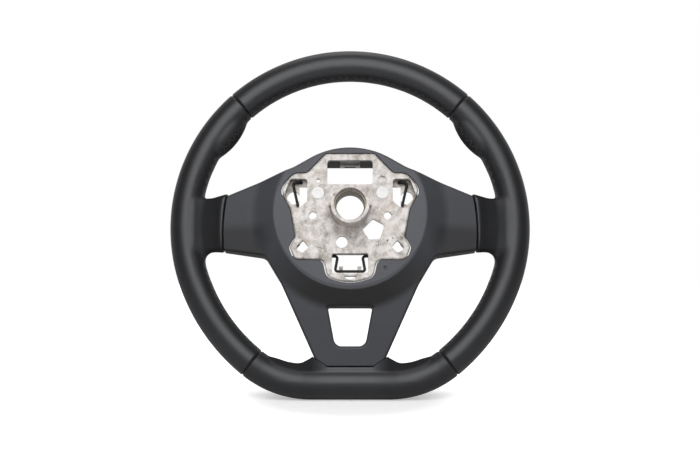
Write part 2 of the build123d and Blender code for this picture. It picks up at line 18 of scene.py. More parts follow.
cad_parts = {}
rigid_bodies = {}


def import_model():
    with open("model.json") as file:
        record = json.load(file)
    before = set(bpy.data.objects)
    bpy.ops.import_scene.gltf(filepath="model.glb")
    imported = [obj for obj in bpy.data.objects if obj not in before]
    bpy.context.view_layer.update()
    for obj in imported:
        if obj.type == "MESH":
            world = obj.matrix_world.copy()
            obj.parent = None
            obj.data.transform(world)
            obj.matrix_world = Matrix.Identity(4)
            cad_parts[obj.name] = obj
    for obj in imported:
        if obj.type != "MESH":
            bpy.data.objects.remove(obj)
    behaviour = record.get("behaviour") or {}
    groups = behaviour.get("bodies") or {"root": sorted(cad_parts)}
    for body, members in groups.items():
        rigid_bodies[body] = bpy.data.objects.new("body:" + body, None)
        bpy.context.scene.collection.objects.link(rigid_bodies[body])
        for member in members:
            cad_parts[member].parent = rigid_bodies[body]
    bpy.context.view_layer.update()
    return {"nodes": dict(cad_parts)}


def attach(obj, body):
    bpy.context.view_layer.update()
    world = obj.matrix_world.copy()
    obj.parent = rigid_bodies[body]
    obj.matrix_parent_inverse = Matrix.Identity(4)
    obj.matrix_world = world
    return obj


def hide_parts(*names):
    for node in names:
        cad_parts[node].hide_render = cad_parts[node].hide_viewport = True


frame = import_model()

MM = 0.001
WHEEL = "wheel"
DULL = "dull"
MERGE = 1e-6
TOOL_LENGTH = 200.0
# Least share of a normal that faces a direction, and largest share that counts as none
FACING = 0.9
LEVEL = 0.02
# Inputs that take a span
FROM = ("From Min", "From Max")
TO = ("To Min", "To Max")
LOG = logging.getLogger("steering_wheel")

Span = tuple[float, float]
Point = tuple[float, float]
Triple = tuple[float, float, float]
Adder = Callable[..., Node]


# Tools for measures
def metres(lengths: Sequence[float]) -> tuple[float, ...]:
    """Lengths in millimetres, turned into metres."""
    return tuple(length * MM for length in lengths)


def ramp(value: float, first: float, last: float) -> float:
    """Rise from nought at a first value to one at a last value."""
    return min(1.0, max(0.0, (value - first) / (last - first)))


# Tools for meshes
def object_mode() -> None:
    """Return to object mode."""
    bpy.ops.object.mode_set(mode="OBJECT")


def select_only(*pieces: Object) -> None:
    """Select objects alone.

    Args:
        pieces: Objects to select, the first of which becomes active.
    """
    bpy.ops.object.select_all(action="DESELECT")
    for piece in pieces:
        piece.select_set(True)
    bpy.context.view_layer.objects.active = pieces[0]


def edit_all(piece: Object) -> None:
    """Enter edit mode with all vertices selected.

    Args:
        piece: Piece to edit.
    """
    select_only(piece)
    bpy.ops.object.mode_set(mode="EDIT")
    bpy.ops.mesh.select_mode(type="VERT")
    bpy.ops.mesh.select_all(action="SELECT")


def edit_faces(piece: Object, test: Callable[[MeshPolygon], bool]) -> None:
    """Enter edit mode with some faces selected.

    Args:
        piece: Piece to edit.
        test: Says whether a face is selected.
    """
    edit_all(piece)
    bpy.ops.mesh.select_mode(type="FACE")
    bpy.ops.mesh.select_all(action="DESELECT")
    object_mode()
    piece.data.polygons.foreach_set("select", [test(face) for face in piece.data.polygons])
    bpy.ops.object.mode_set(mode="EDIT")


def edit(piece: Object, change: Callable, **settings: object) -> None:
    """Run one operator on a whole mesh.

    Args:
        piece: Piece to change.
        change: Operator of edit mode.
        settings: Settings of the operator.
    """
    edit_all(piece)
    change(**settings)
    object_mode()


def extrude(step: Sequence[float]) -> None:
    """Extrude what is selected by a step in metres."""
    bpy.ops.mesh.extrude_region_move(TRANSFORM_OT_translate={"value": step})


def primitive(name: str, add: Callable, **settings: object) -> Object:
    """Add a primitive and put its place into its mesh.

    Args:
        name: Name of the piece.
        add: Operator that adds it.
        settings: Settings of the operator.

    Returns:
        The piece, at the origin.
    """
    bpy.ops.object.select_all(action="DESELECT")
    add(**settings)
    piece = bpy.context.active_object
    piece.name = name
    bpy.ops.object.transform_apply(location=True, rotation=True, scale=True)
    return piece


def apply_modifier(piece: Object, kind: str, **settings: object) -> None:
    """Add a modifier and apply it.

    Args:
        piece: Piece to change.
        kind: Type name of the modifier.
        settings: Attributes of the modifier.
    """
    select_only(piece)
    modifier = piece.modifiers.new(kind.lower(), kind)
    for name, value in settings.items():
        setattr(modifier, name, value)
    bpy.ops.object.modifier_apply(modifier=modifier.name)


def joined(name: str, pieces: Sequence[Object]) -> Object:
    """Join pieces into one object.

    Args:
        name: Name of the result.
        pieces: Pieces to join.

    Returns:
        The first piece, which now holds all.
    """
    select_only(*pieces)
    bpy.ops.object.join()
    pieces[0].name = name
    return pieces[0]


def face_outward(piece: Object) -> None:
    """Merge doubled vertices and turn the normals outwards."""
    edit(piece, bpy.ops.mesh.remove_doubles, threshold=MERGE)
    edit(piece, bpy.ops.mesh.normals_make_consistent, inside=False)


def close_holes(piece: Object) -> None:
    """Close every open end and turn the normals outwards."""
    edit(piece, bpy.ops.mesh.fill_holes, sides=0)
    face_outward(piece)


def shade(piece: Object, degrees: float) -> None:
    """Shade a piece smooth, apart from edges sharper than an angle."""
    select_only(piece)
    bpy.ops.object.shade_smooth_by_angle(angle=math.radians(degrees))


def soften(piece: Object, rounds: int, test: Callable[[Vector], bool]) -> None:
    """Smooth a part of a piece.

    Args:
        piece: Piece with an even mesh.
        rounds: Number of smoothing rounds.
        test: Says whether a place is smoothed.
    """
    group = piece.vertex_groups.new(name="soft")
    group.add([v.index for v in piece.data.vertices if test(v.co)], 1.0, "REPLACE")
    apply_modifier(piece, "SMOOTH", factor=0.5, iterations=rounds, vertex_group="soft")
    piece.vertex_groups.remove(piece.vertex_groups["soft"])


def outline_block(name: str, points: Sequence[Point], rear: float, front: float) -> Object:
    """Draw an outline in the wheel's plane point by point and extrude it along the axis.

    Args:
        name: Name of the block.
        points: Corners as (x, z), in order.
        rear: Depth of the column side.
        front: Depth of the driver's side.

    Returns:
        The closed block.
    """
    first_x, first_z = points[0]
    block = primitive(name, bpy.ops.mesh.primitive_plane_add, size=MM,
                      location=metres((first_x, rear, first_z)))
    edit_all(block)
    bpy.ops.mesh.merge(type="CENTER")
    for before, after in zip(points, points[1:]):
        step = ((after[0] - before[0]) * MM, 0, (after[1] - before[1]) * MM)
        bpy.ops.mesh.extrude_vertices_move(TRANSFORM_OT_translate={"value": step})
    bpy.ops.mesh.select_all(action="SELECT")
    bpy.ops.mesh.edge_face_add()
    extrude((0, (front - rear) * MM, 0))
    object_mode()
    face_outward(block)
    return block


def mirror_outline(points: Sequence[Point]) -> list[Point]:
    """Close an outline of the right half with its mirror image."""
    return [*points, *((-x, z) for x, z in reversed(points))]


def round_edges(piece: Object, radius: float, segments: int = 6) -> None:
    """Round all edges of a block."""
    edit(piece, bpy.ops.mesh.bevel, offset=radius * MM, segments=segments, affect="EDGES")


def cut_away(piece: Object, tool: Object) -> None:
    """Cut a tool's volume out of a piece and delete the tool."""
    apply_modifier(piece, "BOOLEAN", operation="DIFFERENCE", solver="EXACT", object=tool)
    bpy.data.objects.remove(tool)


def mirrored_copy(piece: Object, name: str) -> Object:
    """Copy a piece, with a mesh of its own, to the other side of the wheel.

    Args:
        piece: Piece of one side.
        name: Name of the copy.

    Returns:
        The mirrored piece.
    """
    select_only(piece)
    bpy.ops.object.duplicate()
    copy = bpy.context.active_object
    copy.name = name
    copy.scale.x = -1
    bpy.ops.object.transform_apply(location=True, rotation=True, scale=True)
    face_outward(copy)
    return copy


def hand_over(piece: Object, nodes: Sequence[str] = (), body: str = WHEEL) -> None:
    """Let a finished piece ride on its body and stand for its nodes.

    Args:
        piece: The finished piece.
        nodes: Nodes of the frame that the piece stands for.
        body: Body that it rides on.
    """
    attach(piece, body)
    if nodes:
        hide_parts(*nodes)
    LOG.info("%s: %d faces on %s", piece.name, len(piece.data.polygons), body)


# Tools for materials
def linear(colour: str) -> tuple[float, float, float, float]:
    """Turn an sRGB hex colour into linear RGBA.

    Args:
        colour: Six hex digits.

    Returns:
        The linear channels.
    """
    channels = []
    for start in (0, 2, 4):
        value = int(colour[start:start + 2], 16) / 255
        channels.append(value / 12.92 if value <= 0.04045 else ((value + 0.055) / 1.055) ** 2.4)
    return (*channels, 1.0)


def pattern(place: NodeSocket, size: float) -> dict:
    """Inputs of a texture whose features measure about a size in millimetres."""
    return {"Vector": place, "Scale": 1 / (size * MM)}


def feed(node: Node, inputs: dict) -> None:
    """Set and link the inputs of a node.

    Args:
        node: Node to feed.
        inputs: Name, number or pair of names of inputs, mapped to a value, to another node's socket,
            or to a node whose first output in use is linked.
    """
    for key, value in inputs.items():
        if isinstance(key, tuple):
            feed(node, dict(zip(key, value)))
            continue
        socket = node.inputs[key] if isinstance(key, int) else next(
            each for each in node.inputs if each.enabled and each.name == key)
        if isinstance(value, Node):
            value = next(each for each in value.outputs if each.enabled)
        if isinstance(value, NodeSocket):
            node.id_data.links.new(value, socket)
        else:
            socket.default_value = value


def add_node(tree: NodeTree, kind: str, inputs: dict, stops: Sequence[tuple] = (),
             **settings: object) -> Node:
    """Add a node with its settings and links.

    Args:
        tree: Tree of the material or the world.
        kind: Type name of the node, without ShaderNode.
        inputs: Inputs, as feed takes them.
        stops: (position, linear colour) stops of a colour ramp.
        settings: Attributes of the node.

    Returns:
        The new node.
    """
    node = tree.nodes.new("ShaderNode" + kind)
    for name, value in settings.items():
        setattr(node, name, value)
    feed(node, inputs)
    for number, (position, colour) in enumerate(stops):
        elements = node.color_ramp.elements
        element = elements[number] if number < 2 else elements.new(position)
        element.position = position
        element.color = colour
    return node


def start_material(name: str) -> tuple[Material, Adder, Node, NodeSocket]:
    """Start a material.

    Args:
        name: Name of the real material.

    Returns:
        The material, what adds its nodes, its shader and the object coordinates.
    """
    material = bpy.data.materials.new(name)
    material.use_nodes = True
    add = partial(add_node, material.node_tree)
    place = add("TexCoord", {}).outputs["Object"]
    return material, add, material.node_tree.nodes["Principled BSDF"], place


def open_air(add: Adder, reach: float, light: Span, samples: int = 8) -> Node:
    """Tell nought deep in a gap from one in the open, by the share of sky that is left within reach."""
    sky = add("AmbientOcclusion", {"Distance": reach * MM}, samples=samples)
    return add("MapRange", {"Value": sky.outputs["AO"], FROM: light})


def off_axis(add: Adder, place: NodeSocket) -> tuple[Node, Node]:
    """Give a place without its depth, and its distance from the wheel's axis."""
    flat = add("VectorMath", {0: place, 1: (1, 0, 1)}, operation="MULTIPLY")
    return flat, add("VectorMath", {0: flat}, operation="LENGTH")


def dress(piece: Object, material: Material) -> None:
    """Give a piece one material all over."""
    piece.data.materials.clear()
    piece.data.materials.append(material)


# Finishes
@dataclass(frozen=True)
class Leather:
    """Black nappa with a fine pebble grain.

    Hands have polished the grip to a satin gleam and the roots inside it stay dull. Painted shade
    blackens the seams and takes away their gloss, deepest where little sky reaches into them.
    """

    name: str = "black_nappa_leather"
    colour: str = "141415"
    worn: str = "1a1b1c"
    # Colour of the painted shade deep in the seams
    gap: str = "040404"
    gap_reach: float = 2.0
    gap_light: Span = (0.3, 0.7)
    grain: float = 1.0
    grain_height: float = 0.2
    relief: float = 0.1
    cloud: float = 24.0
    roughness: Span = (0.40, 0.47)
    dull: float = 0.8
    gloss: Span = (0.5, 0.25)
    gleam: str = "f9faff"
    ior: float = 1.61

    def make(self) -> Material:
        """Make the material; the grain is drawn about twice as coarse as the real one, to show.

        Returns:
            The material.
        """
        material, add, shader, place = start_material(self.name)
        pebbles = add("TexVoronoi", pattern(place, self.grain), feature="SMOOTH_F1")
        cloud = add("TexNoise", {**pattern(place, self.cloud), "Detail": 3.0})
        tint = add("Mix", {
            "Factor": cloud, "A": linear(self.colour), "B": linear(self.worn)}, data_type="RGBA")
        dull = add("Attribute", {}, attribute_name=DULL).outputs["Fac"]
        satin = add("MapRange", {"Value": cloud, TO: self.roughness})
        shine = add("MapRange", {"Value": dull, "To Min": satin, "To Max": self.dull})
        gloss = add("MapRange", {"Value": dull, TO: self.gloss})
        # Painted shade: the seams darken and lose their gloss where little sky reaches into them
        unshaded = open_air(add, self.gap_reach, self.gap_light)
        seams = add("Mix", {"Factor": unshaded, "A": linear(self.gap), "B": tint}, data_type="RGBA")
        glint = add("Math", {0: gloss, 1: unshaded}, operation="MULTIPLY")
        skin = add("Bump", {
            "Height": pebbles, "Strength": self.relief, "Distance": self.grain_height * MM})
        feed(shader, {
            "Base Color": seams, "Roughness": shine, "Specular IOR Level": glint, "Normal": skin,
            "IOR": self.ior, "Specular Tint": linear(self.gleam)})
        return material


@dataclass(frozen=True)
class Moulding:
    """Moulded plastic or foam skin: the eroded grain of its mould gives it a matt, fine sparkle."""

    name: str
    colour: str
    cloud_or_painted_shade: str
    cloud: float = 40.0
    grain: float = 0.9
    grain_height: float = 0.15
    harshness: float = 0.6
    relief: float = 0.25
    roughness: float = 0.55
    uneven: Span = (-0.06, 0.08)
    ior: float = 1.46

    def paint(self, add: Adder, place: NodeSocket, cloud: Node) -> dict:
        """Cloud the colour faintly with the second colour."""
        return {"Base Color": add("Mix", {
            "Factor": cloud, "A": linear(self.colour), "B": linear(self.cloud_or_painted_shade)}, data_type="RGBA")}

    def make(self) -> Material:
        """Make the material; the grain is drawn coarser than the real tenths of a millimetre, to show.

        Returns:
            The material.
        """
        material, add, shader, place = start_material(self.name)
        grit = add("TexNoise", {
            **pattern(place, self.grain), "Detail": 4.0, "Roughness": self.harshness})
        cloud = add("TexNoise", {**pattern(place, self.cloud), "Detail": 2.0})
        shine = add("MapRange", {
            "Value": grit, TO: [self.roughness + change for change in self.uneven]})
        skin = add("Bump", {
            "Height": grit, "Strength": self.relief, "Distance": self.grain_height * MM})
        feed(shader, {
            **self.paint(add, place, cloud), "Roughness": shine, "Normal": skin, "IOR": self.ior})
        return material


@dataclass(frozen=True)
class CoverSkin(Moulding):
    """Grained polyurethane skin of the hub.

    A painted lighter ring round the casting and darker spokes stand in for how the light falls on
    them. Painted shade darkens the skin where it looks down and low on the side spokes, and
    blackens the joints.
    """

    name: str = "grained_polyurethane_skin"
    # Paler ring round the casting and darker spokes: painted light and shade
    colour: str = "4f5056"
    # Painted shade where the skin looks down and low on the side spokes; in other mouldings, the second
    # colour of the clouding
    cloud_or_painted_shade: str = "1f1f1f"
    spoke: str = "404146"
    # Colour of the painted shade in the joints
    gap: str = "101011"
    ring_edge: Span = (77.5, 78.1)
    # Band low on the side spokes that painted shade darkens
    low_shade_x: Span = (78.0, 96.0)
    low_shade_z: Span = (-11.0, -21.0)
    low_shade_depth: float = 0.75
    looks_down: Span = (-0.22, -0.55)
    gap_reach: float = 2.5
    gap_light: Span = (0.4, 0.85)
    cloud_level: Span = (0.86, 1.14)
    gloss: float = 0.5

    def paint(self, add: Adder, place: NodeSocket, cloud: Node) -> dict:
        """Colour ring and spokes with painted light and shade, and paint shade below and in the joints.

        Args:
            add: Adds nodes to the material.
            place: Object coordinates.
            cloud: Node with a faint clouding.

        Returns:
            Colour and gloss, as inputs of the shader.
        """
        _, away = off_axis(add, place)
        outside = add("MapRange", {"Value": away, FROM: metres(self.ring_edge)})
        painted_ring_light = add("Mix", {
            "Factor": outside, "A": linear(self.colour), "B": linear(self.spoke)}, data_type="RGBA")
        # Painted shade: darker where the skin looks down and low on the side spokes
        face = add("NewGeometry", {})
        lean = add("SeparateXYZ", {0: face.outputs["Normal"]})
        down = add("MapRange", {"Value": lean.outputs["Z"], FROM: self.looks_down})
        where = add("SeparateXYZ", {0: place})
        sideways = add("Math", {0: where.outputs["X"]}, operation="ABSOLUTE")
        beside = add("MapRange", {
            "Value": sideways, FROM: metres(self.low_shade_x), "To Max": self.low_shade_depth})
        low = add("MapRange", {
            "Value": where.outputs["Z"], FROM: metres(self.low_shade_z), "To Max": beside})
        dim = add("Math", {0: down, 1: low}, operation="MAXIMUM")
        cloud_or_painted_shade = add("Mix", {"Factor": dim, "A": painted_ring_light, "B": linear(self.cloud_or_painted_shade)}, data_type="RGBA")
        # Painted shade: the joints darken and lose their gloss where little sky reaches into them
        unshaded = open_air(add, self.gap_reach, self.gap_light)
        joints = add("Mix", {"Factor": unshaded, "A": linear(self.gap), "B": cloud_or_painted_shade}, data_type="RGBA")
        level = add("MapRange", {"Value": cloud, TO: self.cloud_level})
        tint = add("HueSaturation", {"Color": joints, "Value": level})
        gloss = add("MapRange", {"Value": unshaded, "To Max": self.gloss})
        return {"Base Color": tint, "Specular IOR Level": gloss}


@dataclass(frozen=True)
class DieCast:
    """Die-cast aluminium alloy, as it leaves the mould.

    It is pale grey-beige with flow marks, warm stains, pits, nicks and a dull sheen; painted shade
    darkens its corners.
    The moulded skin coats its arms, so what shows of them in the joints is dark.
    """

    name: str = "die_cast_aluminium"
    dark: str = "7d756e"
    middle: str = "bab4af"
    pale: str = "dcd8d5"
    tones: Triple = (0.41, 0.565, 0.72)
    flow: float = 11.0
    flow_harshness: float = 0.66
    flow_bend: float = 0.3
    pit: float = 1.8
    pit_share: float = 0.25
    pit_height: float = 0.2
    relief: float = 0.35
    stain: str = "ab9a8b"
    stain_size: float = 22.0
    stain_bend: float = 0.8
    stain_tones: Span = (0.52, 0.7)
    stain_depth: float = 0.35
    # Colour of the painted shade in corners and recesses
    corner_shade: str = "4d463f"
    corner: float = 3.5
    corner_light: Span = (0.1, 0.65)
    coat: str = "101010"
    coated: Span = (96.0, 100.0)
    nicks: tuple[Triple, ...] = (
        (37.5, -32.5, 1.3), (42.9, -30.3, 0.9), (30.4, -36.9, 0.7), (28.4, -37.2, 0.8),
        (26.2, -38.0, 0.8), (23.9, -39.1, 0.7))
    nick_core: float = 0.6
    nick_depth: float = 0.8
    roughness: Span = (0.5, 0.68)
    metallic: float = 0.4

    def make(self) -> Material:
        """Make the material.

        Returns:
            The material.
        """
        material, add, shader, place = start_material(self.name)
        flow = add("TexNoise", {
            **pattern(place, self.flow), "Detail": 6.0, "Roughness": self.flow_harshness,
            "Distortion": self.flow_bend})
        pits = add("TexNoise", {**pattern(place, self.pit), "Detail": 3.0})
        mottle = add("Math", {0: pits, 1: self.pit_share, 2: flow}, operation="MULTIPLY_ADD")
        shades = [linear(colour) for colour in (self.dark, self.middle, self.pale)]
        tint = add("ValToRGB", {0: mottle}, stops=list(zip(self.tones, shades)))
        patches = add("TexNoise", {
            **pattern(place, self.stain_size), "Detail": 3.0, "Distortion": self.stain_bend})
        warm = add("MapRange", {
            "Value": patches, FROM: self.stain_tones, "To Max": self.stain_depth})
        stained = add("Mix", {"Factor": warm, "A": tint, "B": linear(self.stain)}, data_type="RGBA")
        # Painted shade: darker where little sky reaches, in corners and round the boss
        unshaded = open_air(add, self.corner, self.corner_light)
        shade_in_corners = add("Mix", {
            "Factor": unshaded, "A": linear(self.corner_shade), "B": stained}, data_type="RGBA")
        flat, away = off_axis(add, place)
        covered = add("MapRange", {"Value": away, FROM: metres(self.coated)})
        for x, z, reach in self.nicks:
            near = add("VectorMath", {0: flat, 1: metres((x, 0, z))}, operation="DISTANCE")
            mark = add("MapRange", {
                "Value": near, FROM: metres((reach, self.nick_core * reach)),
                "To Max": self.nick_depth})
            covered = add("Math", {0: covered, 1: mark}, operation="MAXIMUM")
        coated = add("Mix", {"Factor": covered, "A": shade_in_corners, "B": linear(self.coat)}, data_type="RGBA")
        shine = add("MapRange", {"Value": flow, TO: self.roughness})
        skin = add("Bump", {"Height": pits, "Strength": self.relief, "Distance": self.pit_height * MM})
        feed(shader, {
            "Base Color": coated, "Roughness": shine, "Normal": skin, "Metallic": self.metallic})
        return material


@dataclass(frozen=True)
class Metal:
    """Turned, drawn or stamped metal with fine marks that break up its gloss."""

    name: str
    colour: str
    roughness: float
    metallic: float = 1.0
    mark: float = 0.7
    mark_height: float = 0.08
    relief: float = 0.15
    uneven: float = 0.08

    def make(self) -> Material:
        """Make the material; its marks are drawn coarser than the real ones, to show.

        Returns:
            The material.
        """
        material, add, shader, place = start_material(self.name)
        marks = add("TexNoise", {**pattern(place, self.mark), "Detail": 3.0})
        shine = add("MapRange", {
            "Value": marks, "To Min": self.roughness - self.uneven,
            "To Max": self.roughness + self.uneven})
        skin = add("Bump", {
            "Height": marks, "Strength": self.relief, "Distance": self.mark_height * MM})
        feed(shader, {
            "Base Color": linear(self.colour), "Roughness": shine, "Normal": skin,
            "Metallic": self.metallic})
        return material


@dataclass(frozen=True)
class Thread:
    """Bonded polyester thread of three plies: dull black, a little lighter than the leather."""

    name: str = "polyester_thread"
    colour: str = "161616"
    light: str = "333334"
    ply: float = 0.6
    roughness: float = 0.6
    sheen: float = 0.15

    def make(self) -> Material:
        """Make the material.

        Returns:
            The material.
        """
        material, add, shader, place = start_material(self.name)
        plies = add("TexNoise", {**pattern(place, self.ply), "Detail": 2.0})
        tint = add("Mix", {
            "Factor": plies, "A": linear(self.colour), "B": linear(self.light)}, data_type="RGBA")
        feed(shader, {"Base Color": tint, "Roughness": self.roughness, "Sheen Weight": self.sheen})
        return material


# Rim
@dataclass(frozen=True)
class Arc:
    """Stretch of the rim's middle line about a centre in the wheel's plane."""

    x: float
    z: float
    radius: float

    def place(self, degrees: float, depth: float) -> Vector:
        """Point of the middle line, in metres."""
        return (Vector((self.x, depth, self.z)) + self.radius * self.outward(degrees)) * MM

    def outward(self, degrees: float) -> Vector:
        """Direction away from the arc's centre."""
        return Vector((math.cos(math.radians(degrees)), 0, math.sin(math.radians(degrees))))

    def onward(self, degrees: float) -> Vector:
        """Direction along the rim, towards larger angles."""
        return Vector((-math.sin(math.radians(degrees)), 0, math.cos(math.radians(degrees))))

    def degrees_of(self, length: float) -> float:
        """Angle that a length along the middle line spans."""
        return math.degrees(length / self.radius)


@dataclass
class Rim:
    """Line of the rim and the round grip that follows it."""

    reach: float = 185.0
    drop: float = 12.4
    bottom: float = -190.0
    depth: float = 38.0
    upper_end: float = 200.0
    flank_reach: float = 205.0
    flank_end: float = 231.2
    foot: float = 270.0
    top_seam: float = 131.9
    grip: float = 16.0
    leather: float = 1.3
    seam_gap: float = 0.5
    sides: int = 72
    step: float = 1.8

    def __post_init__(self) -> None:
        """Work out the arcs of the left half from the sizes."""
        lean = math.radians(self.upper_end)
        toe = math.radians(self.flank_end)
        shift = self.reach - self.flank_reach
        flank_x = shift * math.cos(lean)
        flank_z = -self.drop + shift * math.sin(lean)
        toe_z = flank_z + self.flank_reach * math.sin(toe)
        corner_reach = (toe_z - self.bottom) / (1 + math.sin(toe))
        corner_x = flank_x + (self.flank_reach - corner_reach) * math.cos(toe)
        self.upper = Arc(0.0, -self.drop, self.reach - self.grip)
        self.flank = Arc(flank_x, flank_z, self.flank_reach - self.grip)
        self.corner = Arc(corner_x, self.bottom + corner_reach, corner_reach - self.grip)
        self.far_corner = Arc(-corner_x, self.bottom + corner_reach, corner_reach - self.grip)

    def proud(self, place: Vector) -> float:
        """Tell how far a place stands out of the round grip.

        Args:
            place: Place in metres.

        Returns:
            Height over the grip in millimetres.
        """
        x, depth, z = -abs(place.x) / MM, place.y / MM, place.z / MM
        ends = ((self.upper, self.upper_end), (self.flank, self.flank_end), (self.corner, self.foot))
        aside = z - self.bottom - self.grip
        for arc, last in ends:
            if math.degrees(math.atan2(z - arc.z, x - arc.x)) % 360 <= last:
                aside = math.hypot(x - arc.x, z - arc.z) - arc.radius
                break
        return math.hypot(aside, depth - self.depth) - self.grip

    def start(self, name: str, arc: Arc, degrees: float) -> Object:
        """Add the round section at a place of an arc and enter edit mode on it.

        Args:
            name: Name of the tube.
            arc: Stretch of the rim.
            degrees: Angle at which the tube starts.

        Returns:
            The section.
        """
        section = primitive(
            name, bpy.ops.mesh.primitive_circle_add, vertices=self.sides, radius=self.grip * MM,
            location=arc.place(degrees, self.depth), rotation=(0, -math.radians(degrees), 0))
        edit_all(section)
        return section

    def spin(self, arc: Arc, sweep: float, step: float) -> None:
        """Spin the selected section on about an arc's centre, in steps of about a length."""
        steps = max(1, round(arc.radius * math.radians(sweep) / step))
        bpy.ops.mesh.spin(steps=steps, angle=math.radians(sweep), axis=(0, 1, 0),
                          center=metres((arc.x, self.depth, arc.z)))

    def tube(self, name: str, first: float, runs: Sequence[tuple[Arc, float]]) -> Object:
        """Spin the section along arcs and close the ends.

        Args:
            name: Name of the tube.
            first: Angle at which it starts.
            runs: Arcs in order, each with the angle to spin through.

        Returns:
            The closed tube.
        """
        tube = self.start(name, runs[0][0], first)
        for arc, sweep in runs:
            self.spin(arc, sweep, self.step)
        object_mode()
        close_holes(tube)
        return tube


@dataclass
class Skin:
    """How the leather of every panel is formed and cut, and how its edges turn in to the foam."""

    turn: float = 1.7
    fold: float = 1.2
    voxel: float = 1.15
    even_rounds: int = 4
    edge_cuts: int = 2
    clearance: float = 0.1
    crease: float = 60.0

    def fuse(self, name: str, pieces: Sequence[Object]) -> Object:
        """Fuse closed pieces into one even skin.

        Args:
            name: Name of the panel.
            pieces: Pieces that overlap.

        Returns:
            The panel.
        """
        panel = joined(name, pieces)
        apply_modifier(panel, "REMESH", mode="VOXEL", voxel_size=self.voxel * MM)
        soften(panel, self.even_rounds, lambda place: True)
        return panel

    def open_joint(self, panel: Object, tool: Object, test: Callable[[MeshPolygon], bool]) -> None:
        """Cut a panel at the joint to its spoke and leave the cut open.

        Args:
            panel: Panel to cut.
            tool: Block on the spoke's side of the joint.
            test: Says whether a face lies in the cut.
        """
        close_holes(panel)
        cut_away(panel, tool)
        edit_faces(panel, test)
        bpy.ops.mesh.delete(type="FACE")
        object_mode()

    def cut_at(self, panel: Object, place: Vector, onward: Vector) -> None:
        """Cut off what lies past a seam's plane."""
        edit(panel, bpy.ops.mesh.bisect, plane_co=place, plane_no=onward, clear_outer=True)

    def select_edges(self, panel: Object) -> None:
        """Select the open edges in edit mode.

        Args:
            panel: Panel with open edges.
        """
        edit_all(panel)
        bpy.ops.mesh.select_all(action="DESELECT")
        bpy.ops.mesh.select_non_manifold(
            extend=False, use_wire=False, use_multi_face=False, use_non_contiguous=False,
            use_verts=False)

    def turn_edges(self, panel: Object) -> None:
        """Round the open edges down to the foam.

        Args:
            panel: Panel with open edges.
        """
        self.select_edges(panel)
        bpy.ops.transform.shrink_fatten(
            value=-self.fold * MM, use_proportional_edit=True, proportional_edit_falloff="SHARP",
            proportional_size=self.turn * MM)
        object_mode()

    def thicken(self, panel: Object, leather: float) -> None:
        """Give a panel the thickness of the leather, inwards."""
        apply_modifier(
            panel, "SOLIDIFY", thickness=(leather - self.clearance) * MM, offset=-1.0)
        shade(panel, self.crease)

    def finish(self, panel: Object, leather: float, dullness: Callable[[Vector], float]) -> None:
        """Finish a cut panel.

        Args:
            panel: Panel with open edges.
            leather: Thickness of the leather.
            dullness: Tells how little hands have polished a place.
        """
        self.select_edges(panel)
        bpy.ops.mesh.select_more()
        bpy.ops.mesh.subdivide(number_cuts=self.edge_cuts)
        object_mode()
        self.turn_edges(panel)
        self.thicken(panel, leather)
        values = [dullness(vertex.co) for vertex in panel.data.vertices]
        panel.data.attributes.new(DULL, "FLOAT", "POINT").data.foreach_set("value", values)


@dataclass
class TopPanel:
    """Leather round the top of the rim, between its two cross seams."""

    rim: Rim
    skin: Skin
    edge_step: float = 0.25

    def build(self) -> Object:
        """Spin the grip's section from seam to seam, with close rings at both ends.

        Returns:
            The panel.
        """
        arc = self.rim.upper
        first = 180 - self.rim.top_seam + arc.degrees_of(self.rim.seam_gap / 2)
        sweep = 2 * (90 - first)
        edge = arc.degrees_of(self.skin.turn)
        panel = self.rim.start("leather_top_panel", arc, first)
        self.rim.spin(arc, edge, self.edge_step)
        self.rim.spin(arc, sweep - 2 * edge, self.rim.step)
        self.rim.spin(arc, edge, self.edge_step)
        object_mode()
        face_outward(panel)
        self.skin.turn_edges(panel)
        self.skin.thicken(panel, self.rim.leather)
        return panel


